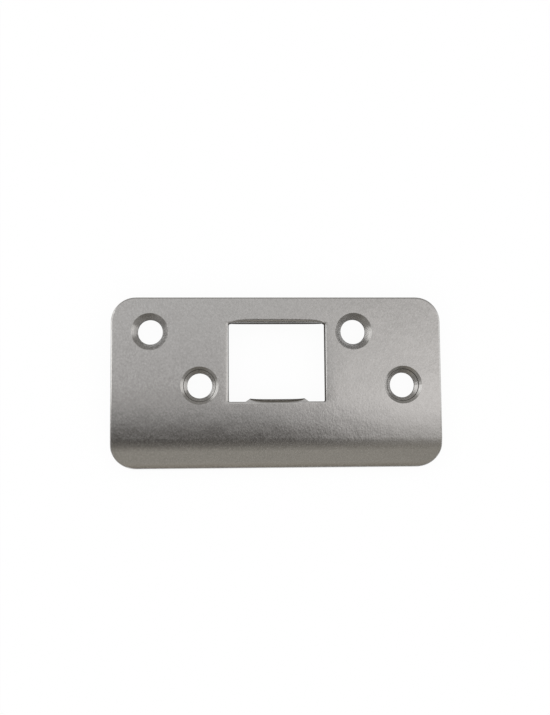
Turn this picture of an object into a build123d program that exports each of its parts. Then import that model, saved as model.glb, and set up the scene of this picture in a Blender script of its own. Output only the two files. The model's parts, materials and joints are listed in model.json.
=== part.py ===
from build123d import *
from math import cos, exp, radians, sin, tan
import os

# A full-lip door strike plate, stamped and folded from one sheet of steel.
# The origin is in the middle of the latch window, level with the back face. X runs along
# the plate, +Y points at the edge opposite the lip, and +Z points out of the front face.

# The sheet and its outline
plate_length = 70.0
plate_width = 36.3  # seen from the front, from the plain long edge to the lip's edge
sheet = 2.0
top_margin = 7.3  # from the plain long edge to the upper pair of screws
corner_radius = 5.25
edge_roll = 0.35  # rounding that blanking leaves along the front of the outline

# The lip, folded back along the lower edge
crease_drop = 30.9  # from the plain long edge to the middle of the fold
lip_angle = 24.0
lip_bend_radius = 8.0  # on the front, which is the outside of the fold

# The screw holes: an upper and a lower pair, the lower one set over to the right
screw_spacing = 43.2
row_spacing = 11.45
row_stagger = 10.45
screw_hole_radius = 2.65
upper_sink_radius = 3.92
upper_sink_angle = 90.0
lower_sink_radius = 4.02
lower_sink_angle = 100.0
lower_step_radius = 3.45  # where a narrow steep ring divides a lower countersink in two
lower_step_width = 0.12
lower_step_angle = 50.0

# The latch window, between the screw holes
window_length = 20.65
window_drop = 5.55  # from the plain long edge to the window
window_height = 16.67
window_corner_radius = 0.35
window_edge_roll = 0.12
window_draft = 3.0  # degrees that the window's short walls lean, so it is longer at the front

# The tabs bent back from the window's long sides
tab_sheet = 1.1  # bending irons the tabs thinner than the plate
tab_fold_radius = 1.05  # on the front, at the middle of a tab
tab_end_radius = 0.25  # the fold tightens to this at a tab's ends
tab_fold_opening = 1.3  # distance from the ends over which the fold opens up
tab_overbend = 4.5  # degrees past square
tab_depth = 4.0  # from the front face to a tab's tip
tab_tip_round = 0.2
tab_root_round = 0.3
upper_tab_length = 19.6
lower_tab_length = 13.45
lower_tab_rise = 0.55  # how far its middle stands into the window
lower_tab_flare = 0.13  # how much further its ends stand in
lower_tab_slant = 1.0  # what its corners lose in length as they rise

# How far an edge may lie from where it is looked for
near = 0.01

# Worked out from the sizes above
half_length = plate_length / 2
window_top = window_height / 2
window_bottom = -window_height / 2
window_lean = sheet * tan(radians(window_draft))
plate_top = window_top + window_drop
plate_bottom = plate_top - plate_width
crease_line = plate_top - crease_drop
upper_row = plate_top - top_margin
lower_row = upper_row - row_spacing


def cut_screw_hole(x, y, stepped):
    """Cuts one countersunk hole: a cone with a steep ring in it if it is stepped, and a land."""
    outline = [(0, sheet), (upper_sink_radius, sheet)]
    cones = [(screw_hole_radius, upper_sink_angle)]
    if stepped:
        outline = [(0, sheet), (lower_sink_radius, sheet)]
        cones = [
            (lower_step_radius, lower_sink_angle),
            (lower_step_radius - lower_step_width, lower_step_angle),
            (screw_hole_radius, lower_sink_angle),
        ]
    for radius, angle in cones:
        last_radius, last_height = outline[-1]
        fall = (last_radius - radius) / tan(radians(angle / 2))
        outline.append((radius, last_height - fall))
    outline += [(screw_hole_radius, 0), (0, 0)]
    with BuildSketch(Plane(origin=(x, y, 0), x_dir=(1, 0, 0), z_dir=(0, -1, 0))) as section:
        with BuildLine():
            Polyline(*outline, close=True)
        make_face()
    revolve(section.sketch, axis=Axis((x, y, 0), (0, 0, 1)), mode=Mode.SUBTRACT)


def tab_section(x, root, face, away, fold_radius):
    """Returns a tab's side section at x, as a sketch.

    The tab's window side stands at y = face and its root in the plate at y = root. away
    is +1 or -1, the Y direction from the window into the plate. The front runs level
    from the root, folds down past square and ends at the tip, and the leg's back rises
    from there to the plate's back face.
    """
    turn = radians(90 + tab_overbend)
    lean = -away / tan(turn)  # how far the leg runs in Y for each unit it drops
    apex = face + away * fold_radius * (1 - tan(turn / 2))
    tip = apex + lean * tab_depth
    tip_back = tip + away * tab_sheet * sin(turn)
    tip_back_height = sheet - tab_depth - tab_sheet * cos(turn)
    crook = tip_back + lean * tip_back_height
    with BuildSketch(Plane.YZ.offset(x)) as section:
        with BuildLine():
            FilletPolyline(
                (root, sheet),
                (apex, sheet),
                (tip, sheet - tab_depth),
                (tip_back, tip_back_height),
                (crook, 0),
                (root, 0),
                radius=[fold_radius, tab_tip_round, tab_tip_round, tab_root_round],
            )
            Line((root, 0), (root, sheet))
        make_face()
    return section.sketch


def add_tab(length, edge, away, rise=0, flare=0, slant=0):
    """Adds a tab of a given length to the window's edge at y = edge.

    The fold's radius grows from each end towards the middle as 1 - exp(-distance). The
    middle stands into the window by the rise, and the ends by the flare too, which
    fades the same way. The slant narrows the part that stands in the window.
    """
    root = edge + away * (2 * tab_fold_radius - rise)
    with BuildSketch() as slot:
        with Locations((0, (edge + root) / 2)):
            Rectangle(length, abs(root - edge))
    extrude(slot.sketch, amount=sheet, mode=Mode.SUBTRACT)
    stations = [(slant + step * tab_fold_opening, exp(-step)) for step in (0, 0.4, 1, 2, 3.5)]
    if slant:
        stations.insert(0, (0, 1))
    sections = []
    for side, order in ((-1, stations), (1, stations[::-1])):
        for inset, near_end in order:
            fold_radius = tab_fold_radius + (tab_end_radius - tab_fold_radius) * near_end
            face = edge - away * (rise + flare * near_end)
            place = side * (length / 2 - inset)
            sections.append(tab_section(place, root, face, away, fold_radius))
    loft(sections, ruled=True)
    if slant:
        rises = 1.5 * away * (rise + flare)
        with BuildSketch(Plane.XY.offset(sheet)) as trim:
            for side in (-1, 1):
                with BuildLine():
                    Polyline(
                        (side * length / 2, edge),
                        (side * (length / 2 - 1.5 * slant), edge - rises),
                        (side * (length / 2 + slant), edge - rises),
                        (side * (length / 2 + slant), edge),
                        close=True,
                    )
                make_face()
        extrude(trim.sketch, amount=-2 * tab_depth, mode=Mode.SUBTRACT)


# What the punch takes out for the latch window
with BuildPart() as window_punch:
    with BuildSketch(Plane.XZ):
        with BuildLine():
            Polyline(
                (-window_length / 2, sheet),
                (window_length / 2, sheet),
                (window_length / 2 - window_lean, 0),
                (window_lean - window_length / 2, 0),
                close=True,
            )
        make_face()
    extrude(amount=window_height / 2, both=True)
    long_edges = window_punch.edges().filter_by(Axis.X) + window_punch.edges().filter_by(Axis.Y)
    fillet(window_punch.edges() - long_edges, radius=window_corner_radius)

with BuildPart() as strike_plate:
    # The flat and the lip, as one folded section run along the plate
    with BuildSketch(Plane.YZ):
        with BuildLine():
            lip_fall = (crease_line - plate_bottom) * tan(radians(lip_angle))
            front_line = FilletPolyline(
                (plate_top, sheet),
                (crease_line, sheet),
                (plate_bottom, sheet - lip_fall),
                radius=lip_bend_radius,
            )
            offset(front_line, amount=sheet, side=Side.LEFT)
        make_face()
    extrude(amount=half_length, both=True)

    # Rounded corners, then the rolled edge along the front of the outline
    corners = strike_plate.edges().filter_by(
        lambda edge: abs(edge.length - sheet) < near and abs(abs(edge.center().X) - half_length) < near
    )
    fillet(corners, radius=corner_radius)
    fronts = strike_plate.faces().filter_by(lambda face: face.normal_at().Z > 0.5)
    backs = strike_plate.faces().filter_by(lambda face: face.normal_at().Z < -0.5)
    rims = strike_plate.faces() - fronts - backs
    fillet(fronts.edges() & rims.edges(), radius=edge_roll)

    # The latch window, with its front edge rolled too
    add(window_punch.part, mode=Mode.SUBTRACT)
    window_rim = strike_plate.edges().filter_by(
        lambda edge: abs(edge.center().Z - sheet) < near
        and abs(edge.center().X) < window_length / 2 + near
        and window_bottom - near < edge.center().Y < window_top + near
    )
    fillet(window_rim, radius=window_edge_roll)

    add_tab(upper_tab_length, window_top, 1)
    add_tab(
        lower_tab_length,
        window_bottom,
        -1,
        rise=lower_tab_rise,
        flare=lower_tab_flare,
        slant=lower_tab_slant,
    )

    for side in (-1, 1):
        cut_screw_hole(side * screw_spacing / 2 - row_stagger / 2, upper_row, stepped=False)
        cut_screw_hole(side * screw_spacing / 2 + row_stagger / 2, lower_row, stepped=True)

strike_plate.part.label = "strike_plate"
os.makedirs("parts", exist_ok=True)
export_step(strike_plate.part, "parts/strike_plate.step")
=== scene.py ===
import json
from math import cos, radians

import bpy
import numpy as np
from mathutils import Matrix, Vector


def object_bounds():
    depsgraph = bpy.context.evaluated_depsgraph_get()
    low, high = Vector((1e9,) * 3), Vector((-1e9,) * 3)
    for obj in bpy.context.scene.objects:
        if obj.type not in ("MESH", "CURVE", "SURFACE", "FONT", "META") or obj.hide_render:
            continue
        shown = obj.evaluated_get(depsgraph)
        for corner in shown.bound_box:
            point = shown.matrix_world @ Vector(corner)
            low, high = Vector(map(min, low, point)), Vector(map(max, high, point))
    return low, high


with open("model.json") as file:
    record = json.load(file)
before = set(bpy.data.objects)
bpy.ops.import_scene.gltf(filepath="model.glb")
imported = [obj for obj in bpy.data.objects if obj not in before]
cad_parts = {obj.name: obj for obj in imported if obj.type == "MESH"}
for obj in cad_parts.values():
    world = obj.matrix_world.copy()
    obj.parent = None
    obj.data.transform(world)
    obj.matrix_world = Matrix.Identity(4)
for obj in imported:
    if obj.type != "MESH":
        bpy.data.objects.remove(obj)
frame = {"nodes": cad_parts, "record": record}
cadBox = [list(corner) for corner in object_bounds()]
print("frame loaded: door strike plate")

mm = 0.001  # the frame is in metres


# One node output that takes part in sums. + - * and / on it add Math nodes to its tree.
class Wire:
    def __init__(self, tree, socket=None):
        self.tree = tree
        self.socket = socket

    # Adds a node: its type, its settings, then its sockets' values or links
    def node(self, kind, settings=None, inputs=None, output=0):
        made = self.tree.nodes.new(kind)
        for name, value in (settings or {}).items():
            if name == "stops":
                self.setStops(made.color_ramp, value)
            else:
                setattr(made, name, value)
        for name, value in (inputs or {}).items():
            if isinstance(value, Wire):
                self.tree.links.new(value.socket, made.inputs[name])
            else:
                made.inputs[name].default_value = value
        return Wire(self.tree, made.outputs[output] if made.outputs else None)

    def setStops(self, ramp, stops):
        while len(ramp.elements) < len(stops):
            ramp.elements.new(0.5)  # anywhere, because each is placed below
        for element, (place, colour) in zip(ramp.elements, stops):
            element.position = place
            element.color = (*colour, 1)

    def math(self, operation, *values):
        return self.node("ShaderNodeMath", {"operation": operation}, dict(enumerate(values)))

    def vector(self, operation, *values, output=0):
        settings = {"operation": operation}
        return self.node("ShaderNodeVectorMath", settings, dict(enumerate(values)), output)

    # One number of a vector: 0, 1 and 2 are x, y and z
    def part(self, axis):
        return self.node("ShaderNodeSeparateXYZ", inputs={0: self}, output=axis)

    # 0 below low, 1 above high, and an S curve between them; the other way round if low > high
    def smooth(self, low, high):
        ends = {"Value": self, "From Min": low, "From Max": high}
        return self.node("ShaderNodeMapRange", {"interpolation_type": "SMOOTHSTEP"}, ends)

    # Sockets 6, 7 and output 2 are the ones that a Mix node uses for colours
    def mixColour(self, share, first, second):
        return self.node("ShaderNodeMix", {"data_type": "RGBA"}, {0: share, 6: first, 7: second}, 2)

    def __add__(self, other):
        return self.math("ADD", self, other)

    def __radd__(self, other):
        return self.math("ADD", other, self)

    def __sub__(self, other):
        return self.math("SUBTRACT", self, other)

    def __rsub__(self, other):
        return self.math("SUBTRACT", other, self)

    def __mul__(self, other):
        return self.math("MULTIPLY", self, other)

    def __rmul__(self, other):
        return self.math("MULTIPLY", other, self)

    def __truediv__(self, other):
        return self.math("DIVIDE", self, other)

    def __rtruediv__(self, other):
        return self.math("DIVIDE", other, self)


# Links a wire to a shader's socket
def feed(wire, shader, name):
    wire.tree.links.new(wire.socket, shader.inputs[name])


# Smooth noise between -1 and 1, with features of about the given sizes along x, y and z
def swell(p, sizes, detail=2.0):
    place = p.vector("DIVIDE", p, sizes)
    settings = {"noise_dimensions": "3D"}
    noise = p.node("ShaderNodeTexNoise", settings, {"Vector": place, "Scale": 1.0, "Detail": detail})
    return (noise - 0.5) * 2


# A roll's height: slope * reach / 2 up to where it starts, then down as a square to 0 at its reach,
# so that it sets off at the given slope
def roll(distance, reach, slope):
    left = 1 - distance.math("MAXIMUM", distance, 0.0) / reach
    left = left.math("MAXIMUM", left, 0.0)
    return left * left * (slope * reach / 2)


# The plate's steel: tumbled sheet, sheared and punched walls with painted shade, turned countersinks.
# Sizes are in millimetres. Each pair of limits says where something is absent and where it is whole.
steelLook = {
    "light": (0.565, 0.558, 0.552, 1),  # the grain goes from dark to light
    "dark": (0.44, 0.433, 0.426, 1),
    "roughness": 0.24,
    "grainSize": (0.32, 0.44, 0.44),
    "grainDetail": 0.0,
    "grainDepth": 0.0045,
    "grainSheen": 0.03,  # how far the grain changes the roughness
    "cloudSize": (1.3, 1.3, 1.3),
    "cloudDepth": 0.001,
    "cloudSheen": 0.02,  # and how far the clouds do
    "waveSize": (9.0, 7.0, 9.0),
    "waveDepth": 0.05,
    "foldDrop": 29.2,  # from the plain long edge to where the fold begins
    "lipDrop": 36.3,  # from the plain long edge to the lip's edge, seen from the front
    "rollOff": (11.0, 0.165),  # reach and slope of the flat's lean towards the fold
    "foldRoll": (2.2, 0.13),  # and of what is left of it on the fold
    "droop": (1.6, 0.2),  # and of the lip's edge
    "windowRim": ((2.5, 0.05), (0.6, 0.3)),  # and of the punch's wide and narrow roll
    "windowHalf": (10.325, 8.335),  # half its length and half its height
    "rimLimits": (0.5, -0.5),  # past the window's long sides
    "sinkRadius": 4.05,  # a little more than the countersinks'
    "sinkFade": 0.1,  # over which the rings come in
    "ringPitch": 0.11,
    "ringDetail": 1.0,
    "ringDepth": 0.006,
    # painted shade: the upright walls' colour is darkened to stand in for the shade they fall in
    "shearedPaintedShade": (0.30, 0.285, 0.27, 1),
    "shearedRoughness": 0.42,
    "shearedLimits": (0.45, 0.25),  # of how level a surface is, from 0 upright to 1 level
    "scoreSize": (0.16, 0.16, 3.0),
    "scoreDepth": 0.02,
    # painted shade: the punched walls' colour is darkened to stand in for the shade inside the window
    # and the bores
    "punchedPaintedShade": (0.115, 0.106, 0.097, 1),
    "punchedRoughness": 0.8,
    "punchedLimits": (0.65, 0.45),  # of how level it is
    "punchedEnds": (0.3, 0.1),  # limits past the window's short sides
    "punchedSides": (2.3, 2.0),  # limits past its long sides, so that the tabs are in it
    # a darker colour for the lower tab's fold
    "darkTabFold": (0.22, 0.205, 0.185, 1),
    "darkTabFoldLimits": (0.99, 0.85),  # of how level it is
    "darkTabFoldRise": (3.0, 2.0),  # limits above the window's lower side
}


# Centres of the four screw holes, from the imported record's bolt patterns, in millimetres
def screwCentres(record):
    centres = []
    for mount in record["mounts"]:
        if mount["kind"] == "bolt_pattern":
            x, y = [value / mm for value in mount["pos_m"][:2]]
            half = mount["dims"]["spacing_x_mm"] / 2
            centres += [(x - half, y, 0), (x + half, y, 0)]
    return centres


# One bump from all the shallow forms, and a roughness and a colour that change from zone to zone
def plateSteel():
    material = bpy.data.materials.new("tumbledSteel")
    material.use_nodes = True
    tree = material.node_tree
    shader = tree.nodes["Principled BSDF"]
    shader.inputs["Metallic"].default_value = 1.0
    metres = Wire(tree).node("ShaderNodeTexCoord", output="Object")
    p = metres.vector("MULTIPLY", metres, (1 / mm, 1 / mm, 1 / mm))
    x = p.part(0)
    y = p.part(1)

    # grain: fine tumbling marks on wider clouds, on a sheet that is a little wavy
    grain = swell(p, steelLook["grainSize"], steelLook["grainDetail"])
    clouds = swell(p, steelLook["cloudSize"])
    waves = swell(p, steelLook["waveSize"])
    height = grain * steelLook["grainDepth"] + clouds * steelLook["cloudDepth"]
    height = height + waves * steelLook["waveDepth"]

    # roll-off: the flat leans more and more towards the fold, and the lean fades over the fold
    longEdge = cadBox[1][1] / mm
    beforeFold = y - (longEdge - steelLook["foldDrop"])
    height = height - roll(beforeFold, *steelLook["rollOff"])
    height = height + roll(beforeFold * -1, *steelLook["foldRoll"])

    # droop: shearing draws the last stretch of the lip down
    lipEdge = longEdge - steelLook["lipDrop"]
    height = height - roll(y - lipEdge, *steelLook["droop"])

    # countersink rings: a one-dimensional noise of the distance to the nearest hole's centre
    plan = p.vector("MULTIPLY", p, (1, 1, 0))
    centres = screwCentres(frame["record"])
    distances = [p.vector("DISTANCE", plan, centre, output="Value") for centre in centres]
    nearest = distances[0]
    for distance in distances[1:]:
        nearest = p.math("MINIMUM", nearest, distance)
    rings = p.node(
        "ShaderNodeTexNoise",
        {"noise_dimensions": "1D"},
        {"W": nearest / steelLook["ringPitch"], "Scale": 1.0, "Detail": steelLook["ringDetail"]},
    )
    sinkRadius = steelLook["sinkRadius"]
    inHole = nearest.smooth(sinkRadius, sinkRadius - steelLook["sinkFade"])
    height = height + (rings - 0.5) * inHole * (2 * steelLook["ringDepth"])

    # window rim: the punch drew the sheet in along the window's short sides
    halfLength, halfHeight = steelLook["windowHalf"]
    pastEnd = p.math("ABSOLUTE", x) - halfLength
    pastSide = p.math("ABSOLUTE", y) - halfHeight
    alongside = pastSide.smooth(*steelLook["rimLimits"])
    for reach, slope in steelLook["windowRim"]:
        height = height - roll(pastEnd, reach, slope) * alongside

    # walls that stand upright were sheared: duller, and scored from front to back
    normal = p.node("ShaderNodeNewGeometry", output="Normal")
    levelness = p.math("ABSOLUTE", normal.part(2))
    wall = levelness.smooth(*steelLook["shearedLimits"])
    scores = swell(p, steelLook["scoreSize"])
    height = height + scores * wall * steelLook["scoreDepth"]

    # punched walls, in the window and the bores, are the roughest, and the darkest by painted shade
    inWindow = pastEnd.smooth(*steelLook["punchedEnds"]) * pastSide.smooth(*steelLook["punchedSides"])
    punchedPaintedShade = p.math("MAXIMUM", inWindow, inHole) * levelness.smooth(*steelLook["punchedLimits"])

    # the lower tab's fold is coloured darker
    nearLowerTab = (y + halfHeight).smooth(*steelLook["darkTabFoldRise"])
    darkTabFold = inWindow * nearLowerTab * levelness.smooth(*steelLook["darkTabFoldLimits"])

    bump = p.node("ShaderNodeBump", inputs={"Height": height, "Distance": mm, "Strength": 1.0})
    feed(bump, shader, "Normal")
    satin = steelLook["roughness"] + clouds * steelLook["cloudSheen"] + grain * steelLook["grainSheen"]
    satin = satin * (1 - wall) + wall * steelLook["shearedRoughness"]
    feed(satin * (1 - punchedPaintedShade) + punchedPaintedShade * steelLook["punchedRoughness"], shader, "Roughness")
    sheet = p.mixColour(grain * 0.5 + 0.5, steelLook["dark"], steelLook["light"])
    sheet = p.mixColour(darkTabFold, sheet, steelLook["darkTabFold"])
    # painted shade: upright walls take a darker colour in place of their shade, on top of their real
    # dullness
    sheet = p.mixColour(wall, sheet, steelLook["shearedPaintedShade"])
    # painted shade: punched walls take the darkest colour in place of their shade
    feed(p.mixColour(punchedPaintedShade, sheet, steelLook["punchedPaintedShade"]), shader, "Base Color")
    return material


plate = frame["nodes"]["strike_plate"]
plate.data.materials.clear()
plate.data.materials.append(plateSteel())
print("steel on the plate")


# Makes a mesh object with one material, for the studio round the plate
def addMesh(name, points, faces, material):
    mesh = bpy.data.meshes.new(name)
    mesh.from_pydata(points, [], faces)
    mesh.materials.append(material)
    made = bpy.data.objects.new(name, mesh)
    bpy.context.scene.collection.objects.link(made)
    return made


# A material with no nodes yet, and a wire to start its tree from
def bareMaterial(name):
    material = bpy.data.materials.new(name)
    material.use_nodes = True
    material.node_tree.nodes.clear()
    return material, Wire(material.node_tree)


# A tent round the object that only reflections see. Its tones run from the far horizon at 0, over
# the top, to the near one at 1, and are plain at the sides but for the lamps.
tentLook = {
    "radius": 0.6,  # in metres
    "opening": 130,  # degrees from the top down to its rim
    "rows": 33,  # of its mesh
    "columns": 64,
    "overhead": 0.4923,  # where the top stands among the tones
    "leftTones": [
        (0.00, (0.36, 0.345, 0.32)),
        (0.14, (0.37, 0.36, 0.34)),
        (0.30, (0.50, 0.49, 0.475)),
        (0.36, (0.70, 0.695, 0.685)),
        (0.40, (0.80, 0.795, 0.79)),
        (0.44, (0.83, 0.825, 0.815)),
        (0.47, (0.69, 0.68, 0.67)),
        (0.50, (0.56, 0.545, 0.53)),
        (0.53, (0.60, 0.585, 0.575)),
        (0.56, (0.45, 0.445, 0.44)),
        (0.59, (0.18, 0.17, 0.16)),
        (0.61, (0.05, 0.045, 0.04)),
        (0.65, (0.08, 0.072, 0.064)),
        (0.67, (0.26, 0.247, 0.225)),
        (0.72, (0.30, 0.282, 0.25)),
        (0.76, (0.44, 0.42, 0.38)),
        (0.80, (0.555, 0.53, 0.477)),
        (0.84, (0.42, 0.38, 0.32)),
        (0.92, (0.17, 0.165, 0.15)),
        (1.00, (0.17, 0.165, 0.16)),
    ],
    "rightTones": [
        (0.00, (0.32, 0.305, 0.28)),
        (0.14, (0.37, 0.36, 0.34)),
        (0.30, (0.50, 0.49, 0.475)),
        (0.36, (0.52, 0.51, 0.50)),
        (0.41, (0.54, 0.53, 0.515)),
        (0.44, (0.82, 0.80, 0.785)),
        (0.47, (1.12, 1.09, 1.065)),
        (0.50, (1.24, 1.205, 1.18)),
        (0.53, (1.22, 1.19, 1.17)),
        (0.56, (1.12, 1.09, 1.07)),
        (0.59, (1.05, 1.025, 1.005)),
        (0.61, (0.80, 0.78, 0.76)),
        (0.63, (0.50, 0.485, 0.46)),
        (0.65, (0.35, 0.335, 0.305)),
        (0.68, (0.38, 0.355, 0.315)),
        (0.76, (0.395, 0.377, 0.333)),
        (0.80, (0.32, 0.298, 0.255)),
        (0.84, (0.20, 0.18, 0.16)),
        (0.92, (0.20, 0.195, 0.18)),
        (1.00, (0.20, 0.195, 0.18)),
    ],
    "divideLimits": (0.09, 0.175),  # across, where the left tones end and the right ones are whole
    "divideTurn": (0.55, 0.8),  # past this tone the divide moves to the right, at this rate
    "sideLimits": (0.35, 0.6),  # across either way, where the plain tone starts and is whole
    "plain": (0.345, 0.335, 0.315, 1),
    "lamps": [  # where each stands, its half width in degrees, and its tone
        ((-1.0, 0.32, 0.08), 24, (1.45, 1.44, 1.41, 1)),
        ((1.0, 0.05, 0.15), 20, (1.25, 1.23, 1.20, 1)),
        ((-0.66, 0.1, 0.74), 14, (2.4, 2.4, 2.4, 1)),
        ((0.66, 0.1, 0.74), 14, (1.5, 1.5, 1.5, 1)),
    ],
    "lampLimits": (1.5, 0.5),  # in half widths from a lamp's centre
}


# The tent's tones, given off as light: left and right ones, then the plain sides, then the lamps
def tentCloth():
    cloth, start = bareMaterial("tentCloth")
    place = start.node("ShaderNodeTexCoord", output="Object")
    direction = place.vector("NORMALIZE", place)
    dx, dy, dz = (direction.part(axis) for axis in range(3))
    lean = place.math("ARCTAN2", dy * -1, dz) / radians(180) + tentLook["overhead"]
    left = place.node("ShaderNodeValToRGB", {"stops": tentLook["leftTones"]}, {0: lean})
    right = place.node("ShaderNodeValToRGB", {"stops": tentLook["rightTones"]}, {0: lean})
    turnsAt, turnRate = tentLook["divideTurn"]
    divide = dx - place.math("MAXIMUM", lean - turnsAt, 0.0) * turnRate
    tone = place.mixColour(divide.smooth(*tentLook["divideLimits"]), left, right)
    across = place.math("ABSOLUTE", dx)
    tone = place.mixColour(across.smooth(*tentLook["sideLimits"]), tone, tentLook["plain"])
    for centre, halfWidth, lampTone in tentLook["lamps"]:
        unit = tuple(np.array(centre) / np.linalg.norm(centre))
        closeness = place.vector("DOT_PRODUCT", direction, unit, output="Value")
        outer, inner = (cos(radians(share * halfWidth)) for share in tentLook["lampLimits"])
        tone = place.mixColour(closeness.smooth(outer, inner), tone, lampTone)
    glow = place.node("ShaderNodeEmission", inputs={"Color": tone, "Strength": 1.0})
    place.node("ShaderNodeOutputMaterial", inputs={"Surface": glow})
    cloth.cycles.emission_sampling = "NONE"
    return cloth


# A ball that is open below. Each point is the radius times (sin u cos v, sin u sin v, cos u), with
# u the angle from the top and v the angle round it.
def lightTent():
    rows, columns = tentLook["rows"], tentLook["columns"]
    down = np.linspace(0, radians(tentLook["opening"]), rows)
    around = np.arange(columns) * 2 * np.pi / columns
    u, v = np.meshgrid(down, around, indexing="ij")
    ball = np.stack([np.sin(u) * np.cos(v), np.sin(u) * np.sin(v), np.cos(u)], -1)
    points = (tentLook["radius"] * ball).reshape(-1, 3)
    row, column = np.meshgrid(np.arange(rows - 1), np.arange(columns), indexing="ij")
    following = (column + 1) % columns
    corners = [row * columns + column, row * columns + following]
    corners += [corners[1] + columns, corners[0] + columns]
    faces = np.stack(corners, -1).reshape(-1, 4)
    tent = addMesh("lightTent", points.tolist(), faces.tolist(), tentCloth())
    tent.visible_camera = False
    tent.visible_diffuse = False
    tent.visible_shadow = False
    tent.visible_transmission = False


# White paper under the object
floorLook = {
    "half": 2.0,  # metres from its middle to a side
    "glow": 0.94,  # share of plain white in it for the camera and reflections; the rest takes shadow
}


# A square at the object's lowest level
def whiteFloor():
    half = floorLook["half"]
    low = cadBox[0][2]
    corners = [(-half, -half, low), (half, -half, low), (half, half, low), (-half, half, low)]
    paper, start = bareMaterial("whitePaper")
    seen = start.node("ShaderNodeLightPath", output="Is Camera Ray")
    mirrored = start.node("ShaderNodeLightPath", output="Is Glossy Ray")
    through = start.node("ShaderNodeLightPath", output="Is Transmission Ray")
    share = start.math("MINIMUM", seen + mirrored + through, 1.0) * floorLook["glow"]
    matt = start.node("ShaderNodeBsdfDiffuse", inputs={"Color": (1, 1, 1, 1)})
    glow = start.node("ShaderNodeEmission", inputs={"Color": (1, 1, 1, 1), "Strength": 1.0})
    both = start.node("ShaderNodeMixShader", inputs={0: share, 1: matt, 2: glow})
    start.node("ShaderNodeOutputMaterial", inputs={"Surface": both})
    floor = addMesh("floor", corners, [(0, 1, 2, 3)], paper)


lightTent()
whiteFloor()
world = bpy.data.worlds.new("studio")
world.use_nodes = True
world.node_tree.nodes["Background"].inputs["Color"].default_value = (1, 1, 1, 1)
bpy.context.scene.world = world
print("studio built")

# The camera, almost straight above, a little towards the lip and to the left
cameraView = {
    "place": (-9.48, -14.90, 185.22),  # in millimetres
    "turn": (4.973, -2.788, -0.442),  # in degrees
    "lens": 43.82,
    "clipStart": 0.01,  # in metres
}
lens = bpy.data.cameras.new("camera")
lens.lens = cameraView["lens"]
lens.clip_start = cameraView["clipStart"]
camera = bpy.data.objects.new("camera", lens)
camera.location = [value * mm for value in cameraView["place"]]
camera.rotation_euler = [radians(value) for value in cameraView["turn"]]
bpy.context.scene.collection.objects.link(camera)
bpy.context.scene.camera = camera
bpy.context.scene.view_settings.view_transform = "Standard"
print("camera placed")
